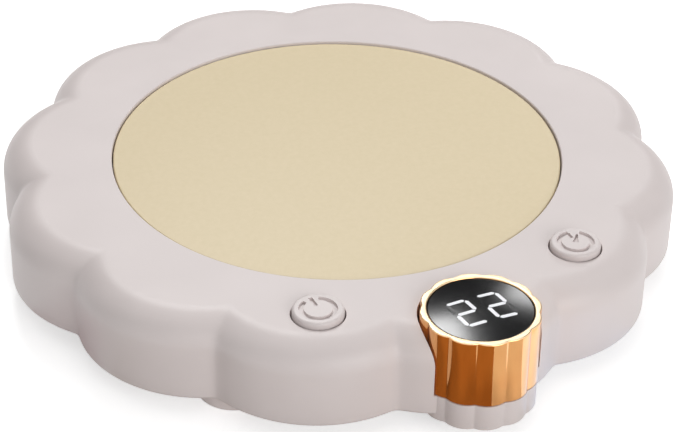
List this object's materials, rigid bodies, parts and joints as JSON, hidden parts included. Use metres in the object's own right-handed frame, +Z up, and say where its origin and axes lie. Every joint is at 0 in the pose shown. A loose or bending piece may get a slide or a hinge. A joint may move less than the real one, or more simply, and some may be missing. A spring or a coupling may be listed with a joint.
{
  "type": "electric mug warmer",
  "caption": "Flower-shaped electric mug warmer with a recessed heating plate, push buttons and a fluted dial round a fixed numeric display.",
  "frame": {"origin": "middle of the overall footprint, in the plane of the table that the feet stand on", "axes": "+Z up, -Y to the front where the dial stands, +Y to the mains lead entry at the back, +X to the right of someone who faces the dial"},
  "size_m": [0.133, 0.1424, 0.0218],
  "materials": {
    "housing": "satin moulded plastic, warm off-white",
    "base": "matte moulded plastic, warm off-white",
    "feet": "matte silicone rubber",
    "screws": "zinc-plated steel",
    "plate": "cream non-stick coating on aluminium",
    "seal": "silicone",
    "spreader": "rolled sheet",
    "film": "amber polyimide film",
    "track": "etched foil",
    "felt": "ceramic fibre felt",
    "bracket": "galvanised sheet",
    "fuse": "glazed ceramic",
    "white_leads": "silicone insulation",
    "black_leads": "silicone insulation",
    "board": "green solder mask",
    "black_parts": "black moulded plastic",
    "white_parts": "natural acetal",
    "capacitor": "printed sleeve",
    "converter": "taped transformer",
    "buttons": "satin moulded plastic, warm off-white",
    "dial": "polished copper-gold anodised",
    "lit": "lit white light guide",
    "unlit": "dark light guide",
    "lens": "glossy black",
    "ribbon": "flat cable",
    "bushing": "matte moulded plastic"
  },
  "bodies": {
    "housing": {"upper_housing": "housing", "base_cover": "base", "feet": "feet", "base_screws": "screws", "warming_plate": "plate", "plate_seal": "seal", "heat_spreader": "spreader", "heating_film": "film", "heating_track": "track", "insulation_felt": "felt", "heater_bracket": "bracket", "bracket_screws": "screws", "temperature_sensor": "black_parts", "thermal_fuse": "fuse", "heater_leads": "white_leads", "sensor_leads": "black_leads", "control_board": "board", "board_screws": "screws", "control_chip": "black_parts", "power_triac": "black_parts", "smoothing_capacitor": "capacitor", "power_converter": "converter", "power_switch": "black_parts", "timer_switch": "black_parts", "encoder_base": "black_parts", "display_carrier": "black_parts", "carrier_clip": "screws", "display_board": "board", "display_module": "black_parts", "lit_segments": "lit", "unlit_segments": "unlit", "display_lens": "lens", "display_ribbon": "ribbon", "cord_bushing": "bushing"},
    "dial": {"dial_ring": "dial", "encoder_rotor": "white_parts"},
    "power_button": {"power_button": "buttons", "power_switch_plunger": "white_parts"},
    "timer_button": {"timer_button": "buttons", "timer_switch_plunger": "white_parts"}
  },
  "joints": [
    {"name": "dial_turn", "type": "hinge", "parent": "housing", "child": "dial", "pos_m": [0, -0.0603, 0.0148], "axis": [0, 0, 1], "continuous": true},
    {"name": "power_press", "type": "slide", "parent": "housing", "child": "power_button", "axis": [0, 0, -1], "range_m": [0, 0.0008], "stiffness_N_per_m": 400},
    {"name": "timer_press", "type": "slide", "parent": "housing", "child": "timer_button", "axis": [0, 0, -1], "range_m": [0, 0.0008], "stiffness_N_per_m": 400}
  ]
}
